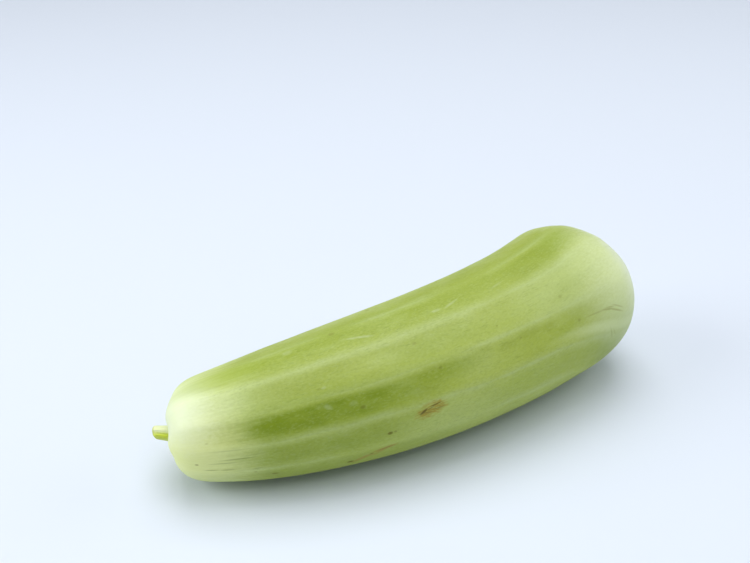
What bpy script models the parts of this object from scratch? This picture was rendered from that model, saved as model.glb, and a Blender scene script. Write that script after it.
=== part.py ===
"""Oriental pickling melon, picked and lying on its side: the fruit, and the cut stub of its stem."""

import math

import bmesh
import bpy
from mathutils import Matrix, Vector

MM = 0.001

# Middle line of the fruit, from the stem end to the blossom end: its bend in plan, how far its ends
# rise, and over what share of its length
LENGTH = 232.5 * MM
BEND = math.radians(55.3)
BEND_EASE = math.radians(-14.0)
BLOSSOM_LIFT = 4.0 * MM
BLOSSOM_LIFT_SHARE = 0.3
STEM_LIFT = 2.9 * MM
STEM_LIFT_SHARE = 0.2

# Belly: it bows up a little from its middle to both ends, and is worn flat where the fruit lies
ROCK = 1.4 * MM
FLAT_DEPTH = 0.8 * MM

# Radius of the body before its ends close, as the control radii of one Bezier curve
BODY_RADII = (19.2 * MM, 34.5 * MM, 32.8 * MM, 34.6 * MM, 37.5 * MM)

# Rounded ends: how long each is along the middle line, and how square its superellipse is
STEM_END = 16.0 * MM
STEM_END_POWER = 3.2
BLOSSOM_END = 36.4 * MM
BLOSSOM_END_POWER = 2.05

# Twelve low ribs along the body, which close into five lobes round the stem. The first crest is at
# RIB_START up from the outside of the bend, and the spacing wanders round the body
RIBS = 12
RIB_START = math.radians(13)
RIB_WANDER = math.radians(4)
RIB_WANDER_FROM = math.radians(45)
RIB_HEIGHT = 0.3 * MM
RIB_FULL_RADIUS = 22 * MM
LOBES = 5
LOBE_HEIGHT = 0.5 * MM
LOBE_RADIUS = 12 * MM
LOBE_WIDTH = 6 * MM

# Hollow that the stem stands in, and the scar of the flower at the other end
DIMPLE_DEPTH = 1.1 * MM
DIMPLE_RADIUS = 8 * MM
SCAR_DEPTH = 0.7 * MM
SCAR_RADIUS = 5 * MM

# Stem stub: a ridged stalk, rooted in the fruit, cut off slantwise
STEM_ROOT = 3.0 * MM
STEM_REACH = 8.2 * MM
STEM_ROOT_RADIUS = 3.4 * MM
STEM_RADIUS = 3.0 * MM
STEM_TIP_RADIUS = 2.7 * MM
STEM_RIDGES = 5
STEM_RIDGE_SHARE = 0.08
STEM_BEVEL = 0.6 * MM
STEM_TIP_ROUND = 1.5 * MM
STEM_CUT_SLANT = math.radians(18)
STEM_RISE = math.radians(10)
GAP = 0.3 * MM
SOCKET_LIP = 0.6 * MM

# Faces
SIDES = 96
STEM_END_RINGS = 9
BODY_RINGS = 15
BLOSSOM_END_RINGS = 9
STEM_SIDES = 30
STEM_RINGS = 6
STEM_TIP_RINGS = 4
LINE_STEPS = 400
SLOPE_STEP = 0.001


def heading(along):
    """Direction of the middle line, as a turn about +Z, at a share of its length."""
    return BEND * along + BEND_EASE * along * along


def middle_line():
    """Points of the middle line in plan, at even steps, by adding up short straight steps."""
    x = y = 0.0
    points = [(x, y)]
    step = LENGTH / LINE_STEPS
    for i in range(LINE_STEPS):
        turn = heading((i + 0.5) / LINE_STEPS)
        x += step * math.cos(turn)
        y += step * math.sin(turn)
        points.append((x, y))
    return points


LINE = middle_line()


def line_point(along):
    """Point of the middle line in plan at a share of its length."""
    place = min(max(along, 0.0), 1.0) * LINE_STEPS
    low = min(int(place), LINE_STEPS - 1)
    share = place - low
    (x0, y0), (x1, y1) = LINE[low], LINE[low + 1]
    return x0 + share * (x1 - x0), y0 + share * (y1 - y0)


def body_radius(along):
    """Radius of the body at a share of its length, before the ends close."""
    degree = len(BODY_RADII) - 1
    return sum(
        math.comb(degree, i) * (1 - along) ** (degree - i) * along**i * radius
        for i, radius in enumerate(BODY_RADII)
    )


def axis_height(along):
    """Height of the middle line: the body lies on its belly, which rises slightly to both ends."""
    blossom = max(0.0, 1 - (1 - along) / BLOSSOM_LIFT_SHARE)
    stem = max(0.0, 1 - along / STEM_LIFT_SHARE)
    rise = ROCK * (2 * along - 1) ** 2 + BLOSSOM_LIFT * blossom**2 + STEM_LIFT * stem**2
    return body_radius(along) + rise - FLAT_DEPTH


def spread(angle):
    """Angle from the first crest, warped a little, so that the ribs aren't evenly spaced."""
    return angle - RIB_START + RIB_WANDER * math.sin(angle - RIB_WANDER_FROM)


def end_sink(radius, at_stem):
    """How far the end's surface is drawn in along the middle line, at a distance from its centre."""
    if at_stem:
        return DIMPLE_DEPTH * math.exp(-((radius / DIMPLE_RADIUS) ** 2))
    return SCAR_DEPTH * math.exp(-((radius / SCAR_RADIUS) ** 4))


def lobe_swell(radius, angle):
    """How far the lobes round the stem stand out along the middle line."""
    ring = math.exp(-(((radius - LOBE_RADIUS) / LOBE_WIDTH) ** 2))
    return LOBE_HEIGHT * ring * math.cos(LOBES * spread(angle))


def line_frame(along):
    """Middle point, and the directions ahead, aside and upward, at a share of the middle line's length."""
    x, y = line_point(along)
    turn = heading(along)
    rise = (axis_height(along + SLOPE_STEP) - axis_height(along - SLOPE_STEP)) / (2 * SLOPE_STEP * LENGTH)
    ahead = Vector((math.cos(turn), math.sin(turn), rise)).normalized()
    aside = Vector((math.sin(turn), -math.cos(turn), 0))
    return Vector((x, y, axis_height(along))), ahead, aside, aside.cross(ahead)


def skin_point(along, share, angle):
    """Point of the skin: share is how much of the body's radius is left where an end closes."""
    radius = body_radius(along) * share
    rib = RIB_HEIGHT * min(1.0, radius / RIB_FULL_RADIUS) ** 2 * math.cos(RIBS * spread(angle))
    middle, ahead, aside, upward = line_frame(along)
    outward = aside * math.cos(angle) + upward * math.sin(angle)
    inward = 0.0
    if along < 0.5:
        inward = end_sink(radius, True) - lobe_swell(radius, angle)
    elif share < 1.0:
        inward = -end_sink(radius, False)
    point = middle + outward * (radius + rib) + ahead * inward
    point.z = max(point.z, 0.0)
    return point


def end_rings(length, power, rings, first_radius, at_stem):
    """(along, share) of the rings that close one end, from its centre outwards."""
    found = []
    start_share = first_radius / body_radius(0.0 if at_stem else 1.0)
    start = math.asin(start_share ** (power / 2))
    for i in range(rings):
        turn = start + (math.pi / 2 - start) * i / rings
        depth = length * (1 - math.cos(turn) ** (2 / power)) / LENGTH
        found.append((depth if at_stem else 1 - depth, math.sin(turn) ** (2 / power)))
    return found


def fruit_rings():
    """(along, share) of every ring, from the socket of the stem to the scar of the flower."""
    socket_radius = STEM_ROOT_RADIUS * (1 + STEM_RIDGE_SHARE) + GAP
    first = end_rings(STEM_END, STEM_END_POWER, STEM_END_RINGS, socket_radius, True)
    last = end_rings(BLOSSOM_END, BLOSSOM_END_POWER, BLOSSOM_END_RINGS, SCAR_RADIUS / 2, False)
    low, high = STEM_END / LENGTH, 1 - BLOSSOM_END / LENGTH
    body = [(low + (high - low) * i / BODY_RINGS, 1.0) for i in range(BODY_RINGS + 1)]
    return first + body + last[::-1]


def stem_frame():
    """Where the stem leaves the fruit, as a matrix whose +Z runs out along the stem."""
    middle, ahead = line_frame(0.0)[:2]
    base = middle + ahead * DIMPLE_DEPTH
    out = Vector((-math.cos(STEM_RISE), 0, math.sin(STEM_RISE)))
    return Matrix.Translation(base) @ out.to_track_quat("Z", "Y").to_matrix().to_4x4()


def bridge(faces, lower, upper):
    """Quads between two rings of the same number of vertices."""
    count = len(lower)
    for i in range(count):
        j = (i + 1) % count
        faces.append((lower[i], lower[j], upper[j], upper[i]))


def fan(faces, centre, ring, flip):
    """Triangles from a centre to a ring."""
    count = len(ring)
    for i in range(count):
        j = (i + 1) % count
        faces.append((centre, ring[j], ring[i]) if flip else (centre, ring[i], ring[j]))


def make_object(name, vertices, faces, material):
    """A smooth object of one closed mesh, its faces pointing out."""
    mesh = bpy.data.meshes.new(name)
    mesh.from_pydata([tuple(v) for v in vertices], [], faces)
    work = bmesh.new()
    work.from_mesh(mesh)
    bmesh.ops.recalc_face_normals(work, faces=work.faces)
    work.to_mesh(mesh)
    work.free()
    mesh.shade_smooth()
    mesh.set_sharp_from_angle(angle=math.radians(40))
    mesh.materials.append(material)
    made = bpy.data.objects.new(name, mesh)
    bpy.context.scene.collection.objects.link(made)
    return made


def make_material(name, colour, roughness):
    """A Principled material of one colour."""
    made = bpy.data.materials.new(name)
    made.use_nodes = True
    shader = made.node_tree.nodes["Principled BSDF"]
    shader.inputs["Base Color"].default_value = (*colour, 1)
    shader.inputs["Roughness"].default_value = roughness
    shader.inputs["Metallic"].default_value = 0
    return made


def make_fruit(frame):
    """The melon itself, one solid, with a blind socket where the stem is rooted."""
    vertices, faces, rings = [], [], []
    angles = [2 * math.pi * i / SIDES for i in range(SIDES)]
    socket_radius = STEM_ROOT_RADIUS * (1 + STEM_RIDGE_SHARE) + GAP
    floor = -STEM_ROOT - GAP
    vertices.append(frame @ Vector((0, 0, floor)))
    # The stem's +Z looks back along the middle line, so its angles run the other way round
    out = frame.to_3x3()
    for height in (floor, -SOCKET_LIP):
        ring = []
        for angle in angles:
            across = Vector((0, -math.cos(angle), math.sin(angle))) @ out
            flat = Vector((across.x, across.y, 0)).normalized() * socket_radius
            ring.append(len(vertices))
            vertices.append(frame @ Vector((flat.x, flat.y, height)))
        rings.append(ring)
    for along, share in fruit_rings():
        ring = []
        for angle in angles:
            ring.append(len(vertices))
            vertices.append(skin_point(along, share, angle))
        rings.append(ring)
    vertices.append(skin_point(1.0, 0.0, 0.0))
    fan(faces, 0, rings[0], True)
    for lower, upper in zip(rings, rings[1:]):
        bridge(faces, lower, upper)
    fan(faces, len(vertices) - 1, rings[-1], False)
    skin = make_material("melon_skin", (0.43, 0.56, 0.20), 0.42)
    return make_object("fruit", vertices, faces, skin)


def stem_profile():
    """(height, radius) of the stem's rings, from its root to the flat of its end."""
    profile = [(-STEM_ROOT, STEM_ROOT_RADIUS - STEM_BEVEL), (-STEM_ROOT + STEM_BEVEL, STEM_ROOT_RADIUS)]
    for i in range(STEM_RINGS + 1):
        share = i / STEM_RINGS
        flare = (STEM_ROOT_RADIUS - STEM_RADIUS) * (1 - share) ** 3
        taper = (STEM_TIP_RADIUS - STEM_RADIUS) * share**2
        profile.append((share * (STEM_REACH - STEM_TIP_ROUND), STEM_RADIUS + flare + taper))
    for i in range(1, STEM_TIP_RINGS + 1):
        turn = math.pi / 2 * i / STEM_TIP_RINGS
        height = STEM_REACH - STEM_TIP_ROUND * (1 - math.sin(turn))
        profile.append((height, STEM_TIP_RADIUS - STEM_TIP_ROUND * (1 - math.cos(turn))))
    return profile


def make_stem(frame):
    """The stub of the stalk, with five soft ridges and a slanted end whose edge has worn round."""
    vertices = [frame @ Vector((0, 0, -STEM_ROOT))]
    faces, rings = [], []
    for height, radius in stem_profile():
        ring = []
        slant = math.tan(STEM_CUT_SLANT) * max(0.0, height / STEM_REACH) ** 2
        for i in range(STEM_SIDES):
            angle = 2 * math.pi * i / STEM_SIDES
            reach = radius * (1 + STEM_RIDGE_SHARE * math.cos(STEM_RIDGES * angle))
            across = Vector((reach * math.cos(angle), reach * math.sin(angle), height))
            across.z += slant * across.y
            ring.append(len(vertices))
            vertices.append(frame @ across)
        rings.append(ring)
    vertices.append(frame @ Vector((0, 0, STEM_REACH)))
    fan(faces, 0, rings[0], True)
    for lower, upper in zip(rings, rings[1:]):
        bridge(faces, lower, upper)
    fan(faces, len(vertices) - 1, rings[-1], False)
    stalk = make_material("cut_stalk", (0.50, 0.55, 0.16), 0.6)
    return make_object("stem", vertices, faces, stalk)


def stand_at_origin(pieces):
    """Turns the ends of the fruit onto the X axis and puts the origin under the middle of its box."""
    (x0, y0), (x1, y1) = LINE[0], LINE[-1]
    turn = Matrix.Rotation(-math.atan2(y1 - y0, x1 - x0), 4, "Z")
    for piece in pieces:
        piece.data.transform(turn)
    corners = [vertex.co for piece in pieces for vertex in piece.data.vertices]
    low = Vector(min(c[i] for c in corners) for i in range(3))
    high = Vector(max(c[i] for c in corners) for i in range(3))
    shift = Matrix.Translation((-(low.x + high.x) / 2, -(low.y + high.y) / 2, -low.z))
    for piece in pieces:
        piece.data.transform(shift)


def main():
    for old in list(bpy.data.objects):
        bpy.data.objects.remove(old, do_unlink=True)
    frame = stem_frame()
    stand_at_origin([make_fruit(frame), make_stem(frame)])


main()
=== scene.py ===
"""The looks of an oriental pickling melon that lies on its side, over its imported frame."""

import math

import bpy
import numpy as np
from mathutils import Matrix, Vector, noise


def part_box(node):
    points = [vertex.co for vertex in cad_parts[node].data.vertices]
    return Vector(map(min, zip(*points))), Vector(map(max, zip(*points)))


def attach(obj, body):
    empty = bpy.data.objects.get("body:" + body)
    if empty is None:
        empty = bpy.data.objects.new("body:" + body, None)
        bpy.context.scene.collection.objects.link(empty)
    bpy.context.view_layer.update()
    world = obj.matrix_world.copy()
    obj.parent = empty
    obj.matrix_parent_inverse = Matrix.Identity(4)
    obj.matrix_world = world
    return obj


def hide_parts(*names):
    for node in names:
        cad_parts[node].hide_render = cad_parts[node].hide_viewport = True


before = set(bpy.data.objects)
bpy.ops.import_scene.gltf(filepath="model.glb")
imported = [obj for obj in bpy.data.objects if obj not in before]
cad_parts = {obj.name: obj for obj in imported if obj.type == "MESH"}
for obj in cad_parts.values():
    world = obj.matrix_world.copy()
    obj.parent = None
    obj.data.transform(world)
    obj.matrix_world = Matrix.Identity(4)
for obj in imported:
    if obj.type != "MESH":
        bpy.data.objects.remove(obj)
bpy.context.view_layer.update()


# The fruit
# One grown piece, about 24 cm long and bent as it hung: thin, hard skin over pale flesh. Low ribs run
# along it over the strands that fed it, fold into five lobes round the stem, and meet at the corky scar
# that the flower left.
MM = 0.001
LENGTH = 232.5 * MM
BEND = math.radians(55.3)
BEND_EASE = math.radians(-14.0)
BLOSSOM_LIFT = 4.0 * MM
BLOSSOM_LIFT_SHARE = 0.3
STEM_LIFT = 2.9 * MM
STEM_LIFT_SHARE = 0.2
ROCK = 1.4 * MM
FLAT_DEPTH = 0.8 * MM
BODY_RADII = np.array((19.05, 34.35, 32.65, 34.45, 37.25)) * MM
STEM_END = 16.0 * MM
STEM_END_POWER = 3.2
BLOSSOM_END = 36.4 * MM
BLOSSOM_END_POWER = 2.05
STEM_HOLE = 2.6 * MM
DIMPLE_DEPTH = 1.1 * MM
DIMPLE_RADIUS = 8 * MM
SCAR_DEPTH = 0.7 * MM
SCAR_RADIUS = 5 * MM
RIBS = 12
RIB_START = math.radians(10)
RIB_WANDER = math.radians(5.6)
RIB_WANDER_FROM = math.radians(45)
RIB_FAN = math.radians(40)
RIB_FAN_FROM = 0.68
RIB_FAN_TO = 0.94
RIB_FAN_SHARE = 0.6
RIB_FAN_TILT = 0.4
RIB_HEIGHT = 0.12 * MM
RIB_CREST = 0.25
RIB_FULL_RADIUS = 22 * MM
LOBES = 5
LOBE_HEIGHT = 0.5 * MM
LOBE_RADIUS = 12 * MM
LOBE_WIDTH = 6 * MM
LUMP_HEIGHT = 0.35 * MM
LUMP_SIZE = 38 * MM
LUMP_SQUEEZE = 0.6
LUMP_SEED = 3.0
PUCKER_HEIGHT = 0.10 * MM
PUCKER_SIZE = 7 * MM
PUCKER_SQUEEZE = 0.5
PUCKER_SEED = 9.0
EVEN_RADIUS = 34 * MM
SIDES = 256
STEM_END_RINGS = 48
BODY_RINGS = 212
BLOSSOM_END_RINGS = 72
LAST_RING = 0.3 * MM
LINE_STEPS = 400
SLOPE_STEP = 0.001
BELLY = -math.pi / 2
MAP_START = 4 / RIBS


def heading(along):
    """Direction of the middle line, as a turn about +Z, at shares of its length."""
    return BEND * along + BEND_EASE * along**2


def middle_line():
    """Points of the middle line in plan, at even steps."""
    turns = heading((np.arange(LINE_STEPS) + 0.5) / LINE_STEPS)
    steps = np.stack((np.cos(turns), np.sin(turns)), axis=1) * LENGTH / LINE_STEPS
    return np.concatenate((np.zeros((1, 2)), np.cumsum(steps, axis=0)))


line = middle_line()


def body_radius(along):
    """Radius of the body at shares of its length, before the ends close."""
    degree = len(BODY_RADII) - 1
    return sum(
        math.comb(degree, i) * (1 - along) ** (degree - i) * along**i * radius
        for i, radius in enumerate(BODY_RADII)
    )


def axis_height(along):
    """Height of the middle line: the belly bows up a little to both ends."""
    blossom = np.maximum(0, 1 - (1 - along) / BLOSSOM_LIFT_SHARE)
    stem = np.maximum(0, 1 - along / STEM_LIFT_SHARE)
    rise = ROCK * (2 * along - 1) ** 2 + BLOSSOM_LIFT * blossom**2 + STEM_LIFT * stem**2
    return body_radius(along) + rise - FLAT_DEPTH


def line_frame(along):
    """Points of the middle line, and the directions ahead, aside and upward there."""
    steps = np.linspace(0, 1, LINE_STEPS + 1)
    x = np.interp(along, steps, line[:, 0])
    y = np.interp(along, steps, line[:, 1])
    turn = heading(along)
    rise = (axis_height(along + SLOPE_STEP) - axis_height(along - SLOPE_STEP)) / (2 * SLOPE_STEP * LENGTH)
    ahead = np.stack((np.cos(turn), np.sin(turn), rise), axis=-1)
    ahead /= np.linalg.norm(ahead, axis=-1, keepdims=True)
    aside = np.stack((np.sin(turn), -np.cos(turn), np.zeros_like(turn)), axis=-1)
    return np.stack((x, y, axis_height(along)), axis=-1), ahead, aside, np.cross(aside, ahead)


def rib_turn(along, angle):
    """Angle from the first rib. The ribs drift apart towards the blossom end, more so low on the outside
    of the bend."""
    fan = np.clip((along - RIB_FAN_FROM) / (RIB_FAN_TO - RIB_FAN_FROM), 0, 1)
    fan = fan * fan * (3 - 2 * fan)
    away = np.sin(angle - RIB_WANDER_FROM)
    drift = RIB_FAN * fan * (RIB_FAN_SHARE - RIB_FAN_TILT * away)
    return angle - RIB_START + (RIB_WANDER - drift) * away


def closing_rings(length, power, rings, first_radius, radius):
    """(along, share) of the rings that close an end, from its centre outwards."""
    start = math.asin((first_radius / radius) ** (power / 2))
    turn = np.linspace(start, math.pi / 2, rings, endpoint=False)
    return length * (1 - np.cos(turn) ** (2 / power)) / LENGTH, np.sin(turn) ** (2 / power)


def fruit_rings():
    """Shares of the length and of the body's radius for every ring, from the stem to the flower's scar."""
    low, low_share = closing_rings(
        STEM_END, STEM_END_POWER, STEM_END_RINGS, STEM_HOLE, body_radius(0.0))
    high, high_share = closing_rings(
        BLOSSOM_END, BLOSSOM_END_POWER, BLOSSOM_END_RINGS, LAST_RING, body_radius(1.0))
    body = np.linspace(STEM_END / LENGTH, 1 - BLOSSOM_END / LENGTH, BODY_RINGS)
    along = np.concatenate((low, body, 1 - high[::-1]))
    return along, np.concatenate((low_share, np.ones(BODY_RINGS), high_share[::-1]))


def rough(points, size, seed):
    """Smooth noise from -1 to 1 at points, with swells of about that size."""
    return np.array([noise.noise(Vector(p) / size + Vector((seed, 0, 0))) for p in points])


along, share = fruit_rings()
angle = BELLY + 2 * math.pi * np.arange(SIDES) / SIDES
radius = (body_radius(along) * share)[:, None] * np.ones(SIDES)
turn = rib_turn(along[:, None], angle[None, :])
straight = np.stack((
    along[:, None] * LENGTH * np.ones(SIDES),
    radius * np.cos(angle),
    radius * np.sin(angle),
), axis=-1)
flat = straight.reshape(-1, 3)
fullness = np.minimum(1, radius / RIB_FULL_RADIUS) ** 2
rib = RIB_HEIGHT * fullness * (np.cos(RIBS * turn) + RIB_CREST * np.cos(2 * RIBS * turn))
lump = rough(flat * (LUMP_SQUEEZE, 1, 1), LUMP_SIZE, LUMP_SEED).reshape(radius.shape)
lump = LUMP_HEIGHT * lump * fullness
pucker = rough(flat * (PUCKER_SQUEEZE, 1, 1), PUCKER_SIZE, PUCKER_SEED).reshape(radius.shape)
pucker = PUCKER_HEIGHT * pucker
outward_by = radius + rib + lump + pucker
near_stem = (along < 0.5)[:, None]
lobe_ring = np.exp(-(((radius - LOBE_RADIUS) / LOBE_WIDTH) ** 2))
stem_sink = DIMPLE_DEPTH * np.exp(-((radius / DIMPLE_RADIUS) ** 2))
stem_sink = stem_sink - LOBE_HEIGHT * lobe_ring * np.cos(LOBES * turn)
scar_sink = SCAR_DEPTH * np.exp(-((radius / SCAR_RADIUS) ** 4)) * (share < 1)[:, None]
inward = np.where(near_stem, stem_sink, -scar_sink)
middle, ahead, aside, upward = line_frame(along)
outward = aside[:, None] * np.cos(angle)[None, :, None] + upward[:, None] * np.sin(angle)[None, :, None]
skin = middle[:, None] + outward * outward_by[..., None] + ahead[:, None] * inward[..., None]
# The belly is flat where it lies
skin[..., 2] = np.maximum(skin[..., 2], 0)

# The ends of the middle line go level with X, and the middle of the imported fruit's box says where it lies
chord = math.atan2(line[-1, 1], line[-1, 0])
low_corner, high_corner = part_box("fruit")
turned = Matrix.Rotation(-chord, 3, "Z")
skin = skin @ np.array(turned).T
placed = (np.array(low_corner) + np.array(high_corner) - skin.min(axis=(0, 1)) - skin.max(axis=(0, 1))) / 2
placed[2] = 0
skin += placed


def closed_tube(name, rings, first, last):
    """A smooth mesh of rings, closed at both ends by a fan to a point."""
    count, sides = rings.shape[:2]
    verts = np.concatenate((rings.reshape(-1, 3), (first, last)))
    ring, side = np.meshgrid(np.arange(count - 1), np.arange(sides), indexing="ij")
    after = (side + 1) % sides
    quads = np.stack((
        ring * sides + side, (ring + 1) * sides + side,
        (ring + 1) * sides + after, ring * sides + after,
    ), axis=-1).reshape(-1, 4)
    here = np.arange(sides)
    there = (here + 1) % sides
    cap = np.full(sides, count * sides)
    top = (count - 1) * sides
    faces = quads.tolist()
    faces += np.stack((cap, here, there), axis=-1).tolist()
    faces += np.stack((cap + 1, top + there, top + here), axis=-1).tolist()
    mesh = bpy.data.meshes.new(name)
    mesh.from_pydata(verts.tolist(), [], faces)
    mesh.shade_smooth()
    made = bpy.data.objects.new(name, mesh)
    bpy.context.scene.collection.objects.link(made)
    return made


def point_values(mesh, name, values):
    """Gives each vertex of a mesh a vector that its material can read."""
    layer = mesh.attributes.new(name, "FLOAT_VECTOR", "POINT")
    layer.data.foreach_set("vector", np.asarray(values, dtype=np.float32).ravel())


def map_turn(turn):
    """How far up the skin's map a rib turn lies, from under the belly. Ribs fall on twelfths of it."""
    return turn / (2 * math.pi) + MAP_START


def skin_map(mesh, along, turns):
    """A map of the skin: across it runs the share of the length, and up it the share of a turn."""
    corner = np.empty(len(mesh.loops), dtype=np.int64)
    mesh.loops.foreach_get("vertex_index", corner)
    starts = np.empty(len(mesh.polygons), dtype=np.int64)
    mesh.polygons.foreach_get("loop_start", starts)
    totals = np.empty(len(mesh.polygons), dtype=np.int64)
    mesh.polygons.foreach_get("loop_total", totals)
    values = np.stack((along[corner], turns[corner]), axis=-1)
    face = np.repeat(np.arange(len(starts)), totals)
    highest = np.full(len(starts), -1.0)
    np.maximum.at(highest, face, values[:, 1])
    values[highest[face] - values[:, 1] > 0.5, 1] += 1
    layer = mesh.uv_layers.new(name="skin")
    layer.data.foreach_set("uv", values.astype(np.float32).ravel())


stem_point = skin[0].mean(axis=0)
flower_point = skin[-1].mean(axis=0)
fruit = closed_tube("melon", skin, stem_point, flower_point)
ends = np.array(((0, 0, 0), (LENGTH, 0, 0)))
point_values(fruit.data, "straight", np.concatenate((flat, ends)))
# The same with every ring drawn out to one width, so that streaks run to the middle where an end closes
even_round = straight.copy()
even_round[..., 1:] *= (EVEN_RADIUS / radius)[..., None]
point_values(fruit.data, "even_round", np.concatenate((even_round.reshape(-1, 3), ends)))
all_along = np.concatenate((np.repeat(along, SIDES), (0, 1)))
skin_map(fruit.data, all_along, np.append(map_turn(turn), (0.5, 0.5)))

# Melon skin as it grew, under its own bloom of wax. It looks satin, with soft broad highlights, and a
# little light goes into it. It is yellow-green, greener in bands between pale lines on the ribs, and pale
# round the stem, with a healed rub of tan cork, small brown specks and fine streaks. Light is painted in
# as well: a highlight that makes the top of the stem end almost white, a rim light on the whitish
# blossom end, a lighter lower flank, and a little shade high on the top.
SKIN_MID = "#9DAC4A"
SKIN_GREEN = "#788E02"
SKIN_YELLOW = "#98AC3C"
SKIN_DEEP = "#627A10"
SKIN_OLIVE = "#8C9A2E"
LOWER_FLANK_PAINTED_LIGHT = "#B4C450"
SKIN_PALE = "#BECE8A"
RIB_PALE = "#B9C993"
STEM_END_PALE = "#CFDD92"
STEM_END_CREAM = "#ECF0A6"
STEM_END_WHITE_AND_GLARE = "#E6F0D8"
FLOWER_END_PALE = "#D3E0A8"
FLOWER_END_WHITE_AND_RIM_LIGHT = "#E2E9DC"
CORK = "#A08C2E"
CORK_DARK = "#54460C"
WAX_SMEAR = "#C3D0A8"
SCRATCH = "#7E7E1E"
FLOWER_SCAR = "#BFA070"
FLOWER_SCAR_DARK = "#7C6234"
SPECK = "#5E5604"
GIRTH = 2 * math.pi * EVEN_RADIUS
BACK_SPECKS = 22
BACK_SPECK_SEED = 7
WAX_ROUGHNESS = 0.50
WAX_SMOOTHEST = 0.40
CORK_ROUGHER = 0.3
SKIN_GLOW = 0.25
SKIN_GLOW_DEPTH = 3 * MM
SKIN_IOR = 1.42


def colour(code):
    """An sRGB hex value as linear red, green, blue and alpha."""
    parts = [int(code[i:i + 2], 16) / 255 for i in (1, 3, 5)]
    return (*(p / 12.92 if p <= 0.04045 else ((p + 0.055) / 1.055) ** 2.4 for p in parts), 1)


def add(tree, kind, inputs, **settings):
    """Adds a node with its settings. An input is a value, or a socket or node to link from."""
    made = tree.nodes.new("ShaderNode" + kind)
    for name, value in settings.items():
        setattr(made, name, value)
    for key, value in inputs.items():
        named = [s for s in made.inputs if s.enabled and s.name == key]
        socket = made.inputs[key] if isinstance(key, int) else named[0]
        if isinstance(value, bpy.types.Node):
            value = next(s for s in value.outputs if s.enabled)
        if isinstance(value, bpy.types.NodeSocket):
            tree.links.new(value, socket)
        else:
            socket.default_value = value
    return made


def new_material(name):
    """A Principled material, its tree and its shader."""
    made = bpy.data.materials.new(name)
    made.use_nodes = True
    return made, made.node_tree, made.node_tree.nodes["Principled BSDF"]


waxed_skin, tree, shader = new_material("waxed_melon_skin")
uv = add(tree, "UVMap", {}, uv_map="skin")
on_skin = add(tree, "VectorMath", {0: uv, 1: (LENGTH, GIRTH, 0)}, operation="MULTIPLY")
parts = add(tree, "SeparateXYZ", {0: uv})
length_share, turn_share = parts.outputs[0], parts.outputs[1]
place = add(tree, "Attribute", {}, attribute_name="straight").outputs["Vector"]
round_place = add(tree, "Attribute", {}, attribute_name="even_round").outputs["Vector"]


def clouds(size, stretch=1.0, detail=2.0, seed=0.0, over=place):
    """Noise over the fruit, with swells of that size in metres, drawn out along it. Each seed gives
    another pattern."""
    moved = add(tree, "Mapping", {"Vector": over, "Location": (seed, seed, seed),
                                  "Scale": (1 / stretch, 1, 1)})
    return add(tree, "TexNoise", {"Vector": moved, "Scale": 1 / size, "Detail": detail})


def patches(size, stretch, detail, seed, bare, full, most, least=0.0):
    """Cover of patches of that size: least where the noise is below bare, most where it is above full."""
    return add(tree, "MapRange", {
        "Value": clouds(size, stretch, detail, seed), "From Min": bare, "From Max": full,
        "To Min": least, "To Max": most}, interpolation_type="SMOOTHSTEP")


def marks(rows, edge, ragged=0.0):
    """Cover of oval marks on the skin, as strong as the strongest at each place. A row gives, in
    millimetres and degrees, a mark's distance along the fruit, its angle up from the outside of the bend,
    its length, width and slant, and then its cover."""
    torn = clouds(0.9 * MM, 2.0, 2.0, 12.0)
    reach = 1 + edge + ragged / 2
    most = 0.0
    for along_mm, degrees, long_mm, wide_mm, slant, cover in rows:
        turned_by = rib_turn(np.array(along_mm * MM / LENGTH), np.array(math.radians(degrees)))
        centre = (along_mm * MM, float(map_turn(turned_by)) * GIRTH, 0)
        local = add(tree, "Mapping", {
            "Vector": on_skin, "Location": centre, "Rotation": (0, 0, math.radians(slant)),
            "Scale": (long_mm * MM / 2 * reach, wide_mm * MM / 2 * reach, 1)}, vector_type="TEXTURE")
        inward = add(tree, "TexGradient", {"Vector": local}, gradient_type="SPHERICAL").outputs["Fac"]
        if ragged:
            inward = add(tree, "Math", {0: torn, 1: -ragged / reach, 2: inward}, operation="MULTIPLY_ADD")
        mark = add(tree, "MapRange", {
            "Value": inward, "From Min": 0.0, "From Max": 2 * edge / reach,
            "To Min": 0.0, "To Max": cover}, interpolation_type="SMOOTHSTEP")
        most = add(tree, "Math", {0: mark, 1: most}, operation="MAXIMUM")
    return most


def painted(below, code, cover, within=1.0):
    """A surface's colour so far with another laid over it, as far as the two covers go together."""
    both = add(tree, "Math", {0: cover, 1: within}, operation="MULTIPLY")
    return add(tree, "Mix", {"Factor": both, "A": below, "B": colour(code)}, data_type="RGBA")


# Where a spot is between two ribs: 0 on a rib, rising to 1 on the next one down
line_wobble = add(tree, "Math", {0: clouds(14 * MM, 3.0, 1.0, 5.0), 1: 0.12, 2: -0.06},
                  operation="MULTIPLY_ADD")
rib_count = add(tree, "Math", {0: turn_share, 1: -RIBS, 2: line_wobble}, operation="MULTIPLY_ADD")
below_rib = add(tree, "Math", {0: rib_count}, operation="FRACT")
from_rib = add(tree, "Math", {0: below_rib, 1: 0.5}, operation="SUBTRACT")
from_rib = add(tree, "Math", {0: from_rib}, operation="ABSOLUTE")
from_rib = add(tree, "Math", {0: 0.5, 1: from_rib}, operation="SUBTRACT")
band_top = add(tree, "MapRange", {"Value": below_rib, "From Min": 0.0, "From Max": 0.24,
                                  "To Min": 0.35, "To Max": 1.0},
               interpolation_type="SMOOTHSTEP")
in_band = add(tree, "MapRange", {"Value": below_rib, "From Min": 0.60, "From Max": 1.0,
                                 "To Min": 1.0, "To Max": 0.6}, interpolation_type="SMOOTHSTEP")
in_band = add(tree, "Math", {0: band_top, 1: in_band}, operation="MULTIPLY")
uneven = patches(8 * MM, 1.8, 3.0, 28.0, 0.36, 0.58, 1.0, 0.78)
in_band = add(tree, "Math", {0: in_band, 1: uneven}, operation="MULTIPLY")

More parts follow.
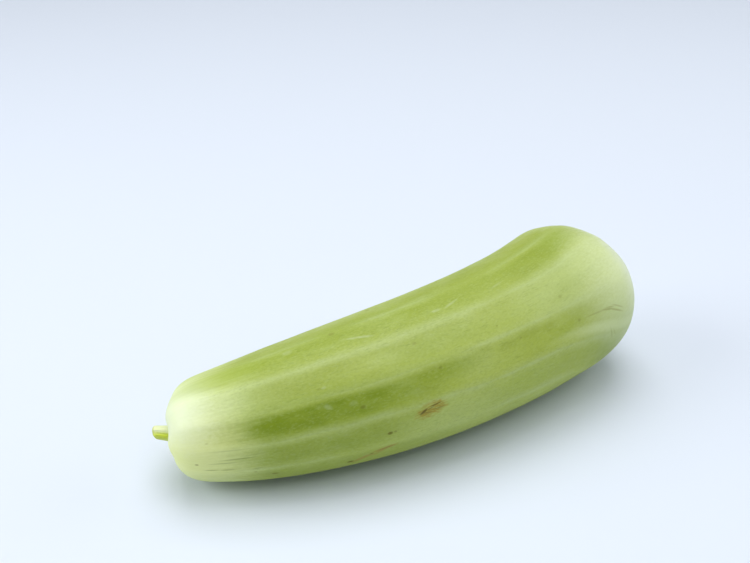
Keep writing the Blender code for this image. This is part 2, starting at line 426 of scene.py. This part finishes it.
# Wide patches: the green ones stay inside the bands, the pale and yellow ones lie across them
pale = patches(26 * MM, 2.0, 2.0, 21.0, 0.48, 0.78, 0.22)
pale = add(tree, "Math", {0: pale, 1: marks((
    (128, 58, 84, 18, 0, 0.18), (110, -8, 44, 22, 0, 0.32), (180, 56, 60, 22, 0, 0.58),
    (24, 55, 50, 26, 0, 0.55), (124, 30, 20, 16, 0, 0.26), (205, 20, 40, 60, 0, 0.30),
    (22, 165, 44, 40, 0, 0.40), (26, 245, 50, 34, 0, 0.40), (130, 168, 70, 20, 0, 0.30),
    (95, 226, 70, 16, 0, 0.28),
), 0.75)}, operation="MAXIMUM")
# Painted light: the lower flank is painted lighter along most of the fruit, standing in for light thrown up
# from the floor
tone = painted(colour(SKIN_MID), LOWER_FLANK_PAINTED_LIGHT, marks(((108, -10, 250, 74, 0, 0.76),), 0.7))
tone = painted(tone, SKIN_PALE, pale)
yellow = marks((
    (105, 86, 190, 20, 0, 0.45), (150, -4, 60, 20, 0, 0.30), (110, 196, 120, 18, 0, 0.40),
), 0.6)
tone = painted(tone, SKIN_YELLOW, yellow)
green = patches(30 * MM, 2.6, 1.5, 1.0, 0.40, 0.72, 0.30)
green = add(tree, "Math", {0: green, 1: marks((
    (58, 28, 80, 23, 0, 1.0), (50, 0, 80, 28, 0, 0.62), (58, -24, 90, 24, 0, 0.50),
    (56, 56, 40, 18, 0, 0.32), (100, 35, 50, 14, 0, 0.55), (152, 32, 44, 15, 0, 0.18),
    (168, -2, 60, 22, 0, 0.20), (150, 26, 110, 20, 0, 0.08), (188, 22, 30, 10, -8, 0.20),
    # The mark at 180 mm and 88 degrees is partly the skin's own green and partly painted shade high on the
    # top
    (110, 90, 190, 20, 0, 0.38), (180, 88, 54, 22, 0, 0.62), (60, 142, 90, 20, 0, 0.80),
    (150, 136, 70, 20, 0, 0.55), (66, 176, 80, 20, 0, 0.55), (120, 206, 90, 22, 0, 0.65),
    (54, 232, 80, 24, 0, 0.85), (168, 240, 50, 24, 0, 0.45), (116, 250, 96, 18, 0, 0.60),
), 0.7)}, operation="MAXIMUM")
tone = painted(tone, SKIN_GREEN, green, in_band)

# Smaller blotches, a little more olive or paler than the skin round them, and an olive strip along the top
olive = patches(10 * MM, 1.8, 4.0, 2.0, 0.46, 0.74, 0.20)
olive = add(tree, "Math", {0: olive, 1: marks((
    (50, 57, 26, 13, 0, 0.34), (69, 61, 14, 7, 0, 0.28), (138, 33, 9, 4, 0, 0.30),
    (150, 35, 11, 4, 0, 0.34), (160, 33, 7, 4, 0, 0.28), (128, 37, 6, 3, 0, 0.25),
    (105, 37, 9, 3, 0, 0.28), (187, 26, 10, 3, -10, 0.25), (206, 8, 9, 8, 0, 0.30),
    (38, -27, 9, 6, 0, 0.30), (116, 84, 190, 26, 0, 0.26),
), 0.6, 0.9)}, operation="MAXIMUM")
tone = painted(tone, SKIN_OLIVE, olive)
tone = painted(tone, SKIN_PALE, patches(7 * MM, 2.4, 4.0, 22.0, 0.50, 0.80, 0.20))

# Pale lines along the ribs: a soft wide one with a finer one in it, each stronger in some stretches
line_edge = add(tree, "Math", {0: clouds(3 * MM, 5.0, 3.0, 25.0), 1: 0.20, 2: from_rib},
                operation="MULTIPLY_ADD")
wide_line = add(tree, "MapRange", {"Value": line_edge, "From Min": 0.10, "From Max": 0.36,
                                   "To Min": 1.0, "To Max": 0.0}, interpolation_type="SMOOTHSTEP")
fine_line = add(tree, "MapRange", {"Value": line_edge, "From Min": 0.08, "From Max": 0.17,
                                   "To Min": 1.0, "To Max": 0.0}, interpolation_type="SMOOTHSTEP")
in_stretches = patches(16 * MM, 2.5, 1.0, 3.0, 0.40, 0.64, 0.20, 0.04)
wide_stretches = add(tree, "Math", {0: in_stretches, 1: marks((
    (52, 14, 100, 9, 0, 0.24), (78, 69, 130, 9, 0, 0.24), (120, 43, 150, 9, 0, 0.16),
    (190, 10, 60, 14, -14, 0.45), (186, 44, 60, 12, 0, 0.24), (96, 128, 150, 9, 0, 0.30),
    (76, 160, 120, 9, 0, 0.30),
    (120, 188, 150, 9, 0, 0.26), (96, 220, 150, 9, 0, 0.30), (120, 252, 150, 9, 0, 0.26),
), 0.4)}, operation="MAXIMUM")
fine_stretches = add(tree, "Math", {0: in_stretches, 1: marks((
    (147, 43, 120, 6, 0, 0.28), (76, 43, 34, 6, 0, 0.15), (142, 13, 90, 6, 0, 0.32),
    (190, 8, 50, 12, -14, 0.30),
), 0.4)}, operation="MAXIMUM")
tone = painted(tone, RIB_PALE, wide_line, wide_stretches)
tone = painted(tone, RIB_PALE, fine_line, fine_stretches)

# Fine grain, coarser than the real cells so that it shows: green and pale cells, and long dashes
fewer = add(tree, "MapRange", {"Value": length_share, "From Min": 0.5, "From Max": 0.8,
                               "To Min": 1.0, "To Max": 0.55}, interpolation_type="SMOOTHSTEP")
grain = patches(0.8 * MM, 1.5, 2.0, 4.0, 0.42, 0.70, 0.16)
tone = painted(tone, SKIN_DEEP, grain, fewer)
tone = painted(tone, SKIN_PALE, patches(0.8 * MM, 1.8, 2.0, 14.0, 0.46, 0.74, 0.14))
dash_areas = patches(16 * MM, 2.0, 1.0, 23.0, 0.42, 0.62, 1.0, 0.25)
tone = painted(tone, SKIN_DEEP, patches(0.6 * MM, 7.0, 1.0, 6.0, 0.56, 0.76, 0.24), dash_areas)

# Both ends are paler and finely streaked. The top of the stem end is painted almost white, partly as a
# painted highlight where light glares on it
streaks = clouds(1.6 * MM, 10.0, 3.0, 7.0, round_place)
end_swell = add(tree, "Math", {0: clouds(12 * MM, 2.0, 3.0, 8.0), 1: 0.07}, operation="MULTIPLY")
stem_edge = add(tree, "Math", {0: streaks, 1: 0.10, 2: length_share}, operation="MULTIPLY_ADD")
stem_edge = add(tree, "Math", {0: stem_edge, 1: end_swell}, operation="ADD")
stem_pale = add(tree, "MapRange", {"Value": stem_edge, "From Min": 0.08, "From Max": 0.27,
                                   "To Min": 0.95, "To Max": 0.0}, interpolation_type="SMOOTHSTEP")
tone = painted(tone, STEM_END_PALE, stem_pale)
tone = painted(tone, STEM_END_CREAM, marks(((6, 6, 40, 70, 0, 0.55),), 0.7, 0.5))
# Painted highlight on the top of the stem end, laid over its own pale colour
tone = painted(tone, STEM_END_WHITE_AND_GLARE, marks(((3, 60, 32, 48, 0, 0.60), (14, 56, 30, 22, 0, 0.20)), 0.7, 0.5))
tone = painted(tone, SKIN_YELLOW, marks(((24, 88, 32, 15, 0, 0.45), (206, 88, 34, 20, 0, 0.20)), 0.6, 0.5))
flower_edge = add(tree, "Math", {0: streaks, 1: -0.10, 2: length_share}, operation="MULTIPLY_ADD")
flower_edge = add(tree, "Math", {0: flower_edge, 1: end_swell}, operation="SUBTRACT")
flower_pale = add(tree, "MapRange", {"Value": flower_edge, "From Min": 0.75, "From Max": 0.91,
                                     "To Min": 0.0, "To Max": 0.75}, interpolation_type="SMOOTHSTEP")
flower_pale = add(tree, "Math", {0: flower_pale, 1: marks((
    (228, 50, 64, 54, 0, 0.80), (207, 12, 36, 34, 0, 0.28),
), 0.6, 0.5)}, operation="MAXIMUM")
tone = painted(tone, FLOWER_END_PALE, flower_pale)
# Whitest at the tip of the blossom end: its own pale colour, and a painted rim light where its edge catches
# light from behind
flower_white_and_rim_light = add(tree, "MapRange", {"Value": flower_edge, "From Min": 0.82, "From Max": 0.95,
                                      "To Min": 0.0, "To Max": 0.85}, interpolation_type="SMOOTHSTEP")
flower_white_and_rim_light = add(tree, "Math", {0: flower_white_and_rim_light, 1: marks(((225, 26, 26, 36, 0, 0.50),), 0.6, 0.4)},
                   operation="MAXIMUM")
tone = painted(tone, FLOWER_END_WHITE_AND_RIM_LIGHT, flower_white_and_rim_light)
tone = painted(tone, SKIN_GREEN, marks(((206, -26, 44, 24, 0, 0.60), (202, 92, 30, 16, 0, 0.20)), 0.8))
tone = painted(tone, FLOWER_END_PALE, marks((
    (198, 5, 52, 5, 0, 0.62), (204, 16, 40, 24, 0, 0.44), (206, 46, 30, 8, 0, 0.16),
), 0.8, 0.4))
flower_lines = add(tree, "MapRange", {"Value": streaks, "From Min": 0.46, "From Max": 0.66,
                                      "To Min": 0.0, "To Max": 0.18}, interpolation_type="SMOOTHSTEP")
flower_near = add(tree, "MapRange", {"Value": length_share, "From Min": 0.88, "From Max": 0.96,
                                     "To Min": 0.0, "To Max": 1.0}, interpolation_type="SMOOTHSTEP")
tone = painted(tone, SKIN_YELLOW, flower_lines, flower_near)

# Thin dark streaks low on the stem end
tone = painted(tone, SKIN_DEEP, marks((
    (27, 1.5, 12, 0.9, 2, 0.45), (21, -2.5, 9, 0.8, 0, 0.35), (16, -11, 5, 0.8, 0, 0.45),
    (22, -11.5, 5, 0.8, 0, 0.45), (33, -13, 4, 0.8, 10, 0.35), (24, 12, 14, 0.8, -2, 0.20),
    (33, 4.5, 9, 0.8, 4, 0.25),
), 0.6, 0.7))

# A healed rub: a patch of short streaks of tan cork, darkest at the end nearer the stem
cork_lines = patches(0.5 * MM, 6.0, 2.0, 11.0, 0.34, 0.54, 1.0, 0.25)
rub = add(tree, "Math", {0: marks((
    (100.4, 7.0, 12.0, 7.4, 18, 1.0), (102.6, 9.8, 7.6, 2.4, 10, 0.9), (104.4, 6.4, 6.4, 2.0, 2, 0.8),
), 0.35, 0.9), 1: cork_lines}, operation="MULTIPLY")
rub_core = marks((
    (97.3, 7.0, 3.6, 1.3, 41, 0.90), (102.4, 10.2, 5.0, 0.7, 8, 0.75), (103.5, 6.4, 4.4, 0.7, 2, 0.45),
    (98.8, 5.2, 3.6, 0.7, -9, 0.45), (100.4, 8.4, 3.6, 0.6, 24, 0.50), (82.0, -20.3, 6.0, 0.7, 16, 0.50),
), 0.5, 0.6)
# Long thin scratches side by side, broken where the skin healed clean
broken = patches(2.2 * MM, 3.0, 2.0, 12.0, 0.34, 0.48, 1.0)
scratch = add(tree, "Math", {0: marks((
    (81.5, -20.5, 9.6, 2.3, 16, 1.00), (73.6, -27.6, 12.0, 2.3, 35, 1.00),
    (78.8, -25.0, 7.4, 2.2, 27, 0.95), (79.6, -22.8, 8.8, 2.0, 20, 0.85),
    (103.4, -13.4, 5.0, 0.8, 78, 0.20), (101.4, -16.4, 3.4, 0.8, 60, 0.16),
), 0.5, 0.4), 1: broken}, operation="MULTIPLY")
hairline = marks((
    (185.3, 24.2, 9.6, 0.6, 2, 0.45), (192.9, 21.6, 6.4, 0.7, -5, 0.65), (197.3, 17.6, 8.0, 0.6, -13, 0.60),
    (194.3, 22.2, 4.9, 0.5, -3, 0.50), (199.2, 19.2, 6.1, 0.5, -16, 0.45),
    (193.4, 0.5, 4.5, 0.6, -76, 0.40), (195.3, 0.0, 2.6, 0.6, -64, 0.30),
), 0.6, 0.3)
tone = painted(tone, SCRATCH, hairline, 0.7)
tone = painted(tone, CORK, rub, 0.85)
tone = painted(tone, CORK, scratch, 0.9)

# Small corky specks: those that show from the outside of the bend, and others strewn over the far side
chance = np.random.default_rng(BACK_SPECK_SEED)
far_side = [
    (chance.uniform(30, 205), chance.uniform(115, 310), chance.uniform(0.9, 2.0), chance.uniform(0.25, 0.6))
    for _ in range(BACK_SPECKS)
]
specks = marks([(along_mm, degrees, size * 1.2, size, 0, cover) for along_mm, degrees, size, cover in [
    (83.4, -3.9, 1.7, 0.85), (85.5, -3.7, 1.1, 0.50), (74.6, 25.0, 1.6, 0.45), (68.0, -31.2, 2.0, 0.95),
    (76.3, -24.4, 1.4, 0.60), (38.8, -26.5, 2.2, 0.55), (31.8, -18.6, 1.0, 0.40), (11.1, -2.8, 1.1, 0.70),
    (73.4, 94.0, 2.2, 0.30), (176.0, 26.2, 1.4, 0.28), (101.3, 59.2, 1.5, 0.30), (107.5, 35.6, 1.3, 0.32),
    (171.6, 48.4, 1.5, 0.26), (77.8, 4.8, 1.0, 0.25), (145.0, 34.0, 1.0, 0.30), (137.0, 49.0, 1.0, 0.25),
    (60.6, 47.6, 1.2, 0.20), (16.4, 22.0, 1.0, 0.20),
    *far_side,
]], 0.5, 0.5)
tone = painted(tone, CORK_DARK, rub_core, 0.85)
tone = painted(tone, SPECK, specks, 0.85)

# Pale smears, where the bloom of wax on the skin has been touched
tone = painted(tone, WAX_SMEAR, marks((
    (62.3, 32.0, 2.0, 3.2, 40, 0.20), (71.5, 30.0, 3.0, 2.0, 20, 0.12), (54.0, 90.0, 4.0, 3.0, 0, 0.20),
    (83.6, 79.5, 8.0, 1.4, -20, 0.24), (79.0, 81.5, 5.0, 1.0, -25, 0.22), (125.0, 80.0, 7.0, 1.2, 18, 0.24),
    (117.4, 79.0, 3.6, 1.6, 0, 0.24), (62.6, 47.6, 1.6, 1.4, 0, 0.22), (149.0, 79.0, 6.0, 1.2, 10, 0.15),
), 0.6, 0.9))

# The scar of the flower: a ragged disc of tan cork, darker at its rim and in the middle
from_flower = add(tree, "VectorMath", {0: place, 1: (LENGTH, 0, 0)}, operation="DISTANCE").outputs["Value"]
scar_edge = add(tree, "Math", {0: clouds(1.5 * MM, 1.0, 3.0, 27.0), 1: 2.4 * MM, 2: from_flower},
                operation="MULTIPLY_ADD")
scar_disc = add(tree, "MapRange", {"Value": scar_edge, "From Min": 5.2 * MM, "From Max": 5.8 * MM,
                                   "To Min": 1.0, "To Max": 0.0}, interpolation_type="SMOOTHSTEP")
scar_inside = add(tree, "MapRange", {"Value": scar_edge, "From Min": 3.9 * MM, "From Max": 5.2 * MM,
                                     "To Min": 1.0, "To Max": 0.15}, interpolation_type="SMOOTHSTEP")
scar_middle = add(tree, "MapRange", {"Value": scar_edge, "From Min": 1.6 * MM, "From Max": 2.2 * MM,
                                     "To Min": 0.1, "To Max": 1.0}, interpolation_type="SMOOTHSTEP")
tone = painted(tone, FLOWER_SCAR_DARK, scar_disc)
scar_pale = add(tree, "Math", {0: scar_inside, 1: scar_middle}, operation="MULTIPLY")
tone = painted(tone, FLOWER_SCAR, scar_pale, scar_disc)

relief = add(tree, "Math", {0: grain, 1: clouds(2.4 * MM, 1.6, 3.0, 17.0)}, operation="ADD")
relief = add(tree, "Math", {0: rub, 1: 1.5, 2: relief}, operation="MULTIPLY_ADD")
relief = add(tree, "Math", {0: scar_pale, 1: -1.5, 2: relief}, operation="MULTIPLY_ADD")
bumps = add(tree, "Bump", {"Strength": 0.15, "Distance": 0.15 * MM, "Height": relief})
tree.links.new(next(s for s in tone.outputs if s.enabled), shader.inputs["Base Color"])
tree.links.new(bumps.outputs[0], shader.inputs["Normal"])
corky = add(tree, "Math", {0: rub, 1: specks}, operation="MAXIMUM")
roughness = patches(3 * MM, 1.5, 2.0, 13.0, 0.3, 0.7, WAX_ROUGHNESS, WAX_SMOOTHEST)
roughness = add(tree, "Math", {0: corky, 1: CORK_ROUGHER, 2: roughness}, operation="MULTIPLY_ADD")
tree.links.new(roughness.outputs[0], shader.inputs["Roughness"])
shader.inputs["Subsurface Weight"].default_value = SKIN_GLOW
shader.inputs["Subsurface Radius"].default_value = (1.0, 1.0, 0.35)
shader.inputs["Subsurface Scale"].default_value = SKIN_GLOW_DEPTH
shader.inputs["IOR"].default_value = SKIN_IOR
fruit.data.materials.append(waxed_skin)
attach(fruit, "root")
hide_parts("fruit")


# The stem
# The stub of the stalk that the melon hung on: ribbed, fibrous and yellow-green, flared where it grows
# out of the fruit, and cut across with a knife, so that its end shows pith, which dries a little darker.
STEM_ROOT = 3.0 * MM
STEM_REACH = 8.1 * MM
STEM_ROOT_RADIUS = 3.4 * MM
STEM_RADIUS = 3.0 * MM
STEM_TIP_RADIUS = 2.7 * MM
STEM_RIDGES = 5
STEM_RIDGE_SHARE = 0.08
STEM_FIBRES = 17
STEM_FIBRE_SHARE = 0.015
STEM_TIP_ROUND = 1.5 * MM
STEM_CUT_HOLLOW = 0.3 * MM
STEM_CUT_SLANT = math.radians(18)
STEM_RISE = math.radians(10)
STEM_SIDES = 120
STEM_RINGS = 60
STEM_TIP_RINGS = 24
STEM_CUT_RINGS = 12
STEM_CUT_CENTRE = 0.1
STALK_GREEN = "#BECC36"
STALK_PALE = "#D3DC86"
STALK_PAINTED_HIGHLIGHT = "#E6EBC6"
PITH = "#A9B030"
STALK_ROUGHNESS = 0.55
STALK_GLOW = 0.2
STALK_GLOW_DEPTH = 1.5 * MM

heights = np.linspace(-STEM_ROOT, STEM_REACH - STEM_TIP_ROUND, STEM_RINGS)
up_stem = np.clip(heights / (STEM_REACH - STEM_TIP_ROUND), 0, 1)
flare = (STEM_ROOT_RADIUS - STEM_RADIUS) * (1 - up_stem) ** 3
taper = (STEM_TIP_RADIUS - STEM_RADIUS) * up_stem**2
stem_radius = STEM_RADIUS + flare + taper
tip_turn = np.linspace(0, math.pi / 2, STEM_TIP_RINGS)[1:]
tip_shares = np.linspace(1, STEM_CUT_CENTRE, STEM_CUT_RINGS)[1:]
tip_radius = STEM_TIP_RADIUS - STEM_TIP_ROUND * (1 - np.cos(tip_turn))
stem_radius = np.concatenate((stem_radius, tip_radius, tip_radius[-1] * tip_shares))
heights = np.concatenate((
    heights,
    STEM_REACH - STEM_TIP_ROUND * (1 - np.sin(tip_turn)),
    STEM_REACH - STEM_CUT_HOLLOW * (1 - tip_shares) ** 2,
))
stem_angle = 2 * math.pi * np.arange(STEM_SIDES) / STEM_SIDES
ridges = 1 + STEM_RIDGE_SHARE * np.cos(STEM_RIDGES * stem_angle)
ridges = ridges + STEM_FIBRE_SHARE * np.cos(STEM_FIBRES * stem_angle + 1)
reach = stem_radius[:, None] * ridges
slant = math.tan(STEM_CUT_SLANT) * np.maximum(0, heights / STEM_REACH)[:, None] ** 2
stem_rings = np.stack((
    reach * np.cos(stem_angle),
    reach * np.sin(stem_angle),
    heights[:, None] + slant * reach * np.sin(stem_angle),
), axis=-1)
stem_middle, stem_ahead = (part[0] for part in line_frame(np.array([0.0]))[:2])
stem_base = Matrix.Translation(Vector(stem_middle + stem_ahead * DIMPLE_DEPTH))
stem_out = Vector((-math.cos(STEM_RISE), 0, math.sin(STEM_RISE)))
stem_place = Matrix.Translation(Vector(placed)) @ turned.to_4x4() @ stem_base
stem_place = np.array(stem_place @ stem_out.to_track_quat("Z", "Y").to_matrix().to_4x4())
stem_skin = stem_rings @ stem_place[:3, :3].T + stem_place[:3, 3]
stem = closed_tube("stem_stub", stem_skin, stem_skin[0].mean(axis=0), stem_skin[-1].mean(axis=0))
local = np.concatenate((stem_rings.reshape(-1, 3), ((0, 0, -STEM_ROOT), (0, 0, STEM_REACH))))
point_values(stem.data, "straight", local)

# Green stalk, cut and a little dried. It looks dull, with fine streaks along its fibres, and its upper
# side is painted paler, as a highlight where the light falls on it.
green_stalk, tree, shader = new_material("green_stalk")
place = add(tree, "Attribute", {}, attribute_name="straight").outputs["Vector"]
drawn = add(tree, "Mapping", {"Vector": place, "Scale": (1, 1, 0.08)})
fibre = add(tree, "TexNoise", {"Vector": drawn, "Scale": 1 / (0.6 * MM), "Detail": 3.0})
patch = add(tree, "TexNoise", {"Vector": place, "Scale": 1 / (3 * MM), "Detail": 2.0})
pale_fibres = add(tree, "MapRange", {"Value": fibre, "From Min": 0.40, "From Max": 0.66,
                                     "To Min": 0.0, "To Max": 0.45}, interpolation_type="SMOOTHSTEP")
pale_patches = add(tree, "MapRange", {"Value": patch, "From Min": 0.40, "From Max": 0.70,
                                      "To Min": 0.0, "To Max": 0.25}, interpolation_type="SMOOTHSTEP")
tone = painted(colour(STALK_GREEN), STALK_PALE, pale_fibres)
tone = painted(tone, STALK_PALE, pale_patches)
stalk_parts = add(tree, "SeparateXYZ", {0: place})
# Painted highlight: the upper side of the stalk is paler, with a ragged edge
ragged_top = add(tree, "Math", {0: patch, 1: 1.5 * MM, 2: stalk_parts.outputs[1]}, operation="MULTIPLY_ADD")
painted_highlight = add(tree, "MapRange", {"Value": ragged_top, "From Min": 1.9 * MM, "From Max": 3.1 * MM,
                                  "To Min": 0.0, "To Max": 0.8}, interpolation_type="SMOOTHSTEP")
tone = painted(tone, STALK_PAINTED_HIGHLIGHT, painted_highlight)
cut_face = add(tree, "MapRange", {"Value": stalk_parts.outputs[2], "From Min": STEM_REACH - 0.5 * MM,
                                  "From Max": STEM_REACH, "To Min": 0.0, "To Max": 0.5},
               interpolation_type="SMOOTHSTEP")
tone = painted(tone, PITH, cut_face)
bumps = add(tree, "Bump", {"Strength": 0.6, "Distance": 0.25 * MM, "Height": fibre})
tree.links.new(next(s for s in tone.outputs if s.enabled), shader.inputs["Base Color"])
tree.links.new(bumps.outputs[0], shader.inputs["Normal"])
shader.inputs["Roughness"].default_value = STALK_ROUGHNESS
shader.inputs["Subsurface Weight"].default_value = STALK_GLOW
shader.inputs["Subsurface Radius"].default_value = (1.0, 1.0, 0.4)
shader.inputs["Subsurface Scale"].default_value = STALK_GLOW_DEPTH
stem.data.materials.append(green_stalk)
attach(stem, "root")
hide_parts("stem")


# The camera
# It stands where the photograph was taken from: in front of the stem end, looking down on the melon. Its
# lens is a guess, and its place and height go with that lens.
CAMERA_PLACE = (-0.2009, -0.3286, 0.3042)
CAMERA_TURN = math.radians(-28.77)
CAMERA_DOWN = math.radians(31.05)
CAMERA_LENS = 50.0
CAMERA_SENSOR = 36.0
CAMERA_NEAREST = 0.01

lens = bpy.data.cameras.new("camera")
lens.lens = CAMERA_LENS
lens.sensor_width = CAMERA_SENSOR
lens.clip_start = CAMERA_NEAREST
camera = bpy.data.objects.new("camera", lens)
camera.location = CAMERA_PLACE
camera.rotation_euler = (math.pi / 2 - CAMERA_DOWN, 0, CAMERA_TURN)
bpy.context.scene.collection.objects.link(camera)
bpy.context.scene.camera = camera


# The floor and the light
# A plain pale floor under a bright studio: broad soft lights overhead and to the left, weaker ones high in
# front and low to the right, and an even, faintly blue surround that keeps the shadows open.
FLOOR_SIZE = 6.0
FLOOR_TONE = "#D5DDE8"
FLOOR_ROUGHNESS = 0.6
SURROUND_TINT = (0.90, 0.93, 1, 1)
SURROUND_STRENGTH = 0.37

floor_mesh = bpy.data.meshes.new("floor")
half = FLOOR_SIZE / 2
floor_mesh.from_pydata(
    [(-half, -half, 0), (half, -half, 0), (half, half, 0), (-half, half, 0)], [], [(0, 1, 2, 3)])
floor = bpy.data.objects.new("floor", floor_mesh)
bpy.context.scene.collection.objects.link(floor)

# Painted board, matt, so that it shows a soft shadow and no clear reflection
painted_board, tree, shader = new_material("matt_painted_board")
shader.inputs["Base Color"].default_value = colour(FLOOR_TONE)
shader.inputs["Roughness"].default_value = FLOOR_ROUGHNESS
floor.data.materials.append(painted_board)


def soft_light(name, turn, rise, distance, size, watts):
    """A square soft light that faces the melon, so many degrees to the left of straight behind it."""
    lamp = bpy.data.lights.new(name, "AREA")
    lamp.shape = "SQUARE"
    lamp.size = size
    lamp.energy = watts
    away = CAMERA_TURN + math.radians(turn)
    place = Vector((-math.sin(away), math.cos(away), math.tan(math.radians(rise)))).normalized() * distance
    made = bpy.data.objects.new(name, lamp)
    made.location = place
    made.rotation_euler = place.to_track_quat("Z", "Y").to_euler()
    bpy.context.scene.collection.objects.link(made)


soft_light("top_light", 0, 76, 1.4, 1.0, 10.4)
soft_light("left_light", 100, 30, 1.4, 0.9, 9.3)
soft_light("front_light", 205, 70, 1.4, 0.9, 5.0)
soft_light("right_light", -75, 25, 1.4, 1.0, 4)
world = bpy.data.worlds.new("surround")
world.use_nodes = True
world.node_tree.nodes["Background"].inputs["Color"].default_value = SURROUND_TINT
world.node_tree.nodes["Background"].inputs["Strength"].default_value = SURROUND_STRENGTH
bpy.context.scene.world = world
bpy.context.scene.view_settings.view_transform = "Standard"
